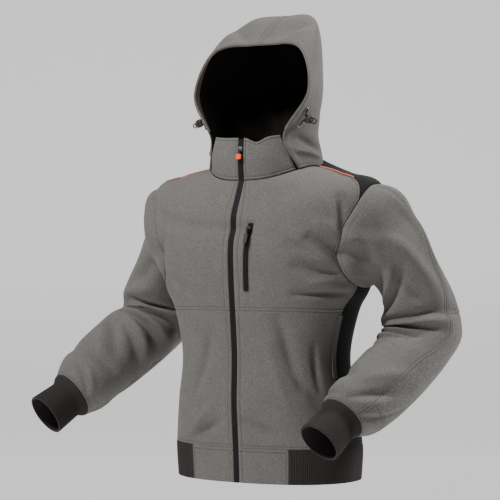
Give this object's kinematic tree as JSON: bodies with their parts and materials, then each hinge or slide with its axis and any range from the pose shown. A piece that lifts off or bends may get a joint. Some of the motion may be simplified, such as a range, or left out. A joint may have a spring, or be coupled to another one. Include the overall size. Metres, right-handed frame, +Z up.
{
  "type": "hooded softshell jacket",
  "caption": "Grey hooded softshell jacket, worn form, with black yoke, side panels, rib cuffs and hem, zip front and chest pocket zip.",
  "frame": {"origin": "at the base of the neck, midway between the side neck points, where the jacket rests on the shoulders", "axes": "+Z up, +X to the wearer's left, -Y to the front"},
  "size_m": [0.908, 0.3885, 0.9968],
  "materials": {
    "grey_shell": "matt melange softshell",
    "elbow_cloth": "matt, fine raised texture",
    "black_shell": "matt softshell",
    "rib": "rib knit",
    "satin_facing": "satin",
    "zip": "matt",
    "metal": "satin metal",
    "orange_tab": "soft matt",
    "piping": "reflective tape",
    "cord": "braided cord",
    "lock_plastic": "matt"
  },
  "bodies": {
    "jacket": {"back": "grey_shell", "chest_slider": "zip", "chest_zip": "zip", "collar_left": "grey_shell", "collar_right": "grey_shell", "cord_lock_left": "lock_plastic", "cord_lock_right": "lock_plastic", "cuff_left": "rib", "cuff_right": "rib", "drawcord_left": "cord", "drawcord_right": "cord", "elbow_panel_left": "elbow_cloth", "elbow_panel_right": "elbow_cloth", "eyelet_lower_left": "metal", "eyelet_lower_right": "metal", "eyelet_upper_left": "metal", "eyelet_upper_right": "metal", "front_lower_left": "grey_shell", "front_lower_right": "grey_shell", "front_slider": "metal", "front_upper_left": "grey_shell", "front_upper_right": "grey_shell", "front_zip": "zip", "hem_front_left": "grey_shell", "hem_front_right": "grey_shell", "hem_rib": "rib", "hood_facing_left": "satin_facing", "hood_facing_right": "satin_facing", "hood_left": "grey_shell", "hood_right": "grey_shell", "piping_left": "piping", "piping_right": "piping", "pocket_welt_left": "grey_shell", "pocket_welt_right": "grey_shell", "side_panel_left": "black_shell", "side_panel_right": "black_shell", "sleeve_back_left": "grey_shell", "sleeve_back_right": "grey_shell", "sleeve_front_left": "grey_shell", "sleeve_front_right": "grey_shell", "sleeve_wrist_left": "grey_shell", "sleeve_wrist_right": "grey_shell", "yoke": "black_shell"},
    "front_pull": {"front_pull": "zip", "front_pull_tab": "orange_tab"},
    "chest_pull": {"chest_pull": "zip", "chest_pull_tab": "zip"}
  },
  "joints": [
    {"name": "front_pull_hinge", "type": "hinge", "parent": "jacket", "child": "front_pull", "pos_m": [0.00003, -0.12084, -0.0097], "axis": [-1, -0.0001, 0], "range_deg": [0, 165]},
    {"name": "chest_pull_hinge", "type": "hinge", "parent": "jacket", "child": "chest_pull", "pos_m": [0.04171, -0.15657, -0.17692], "axis": [-0.9962, -0.0241, 0.0837], "range_deg": [0, 165]}
  ]
}
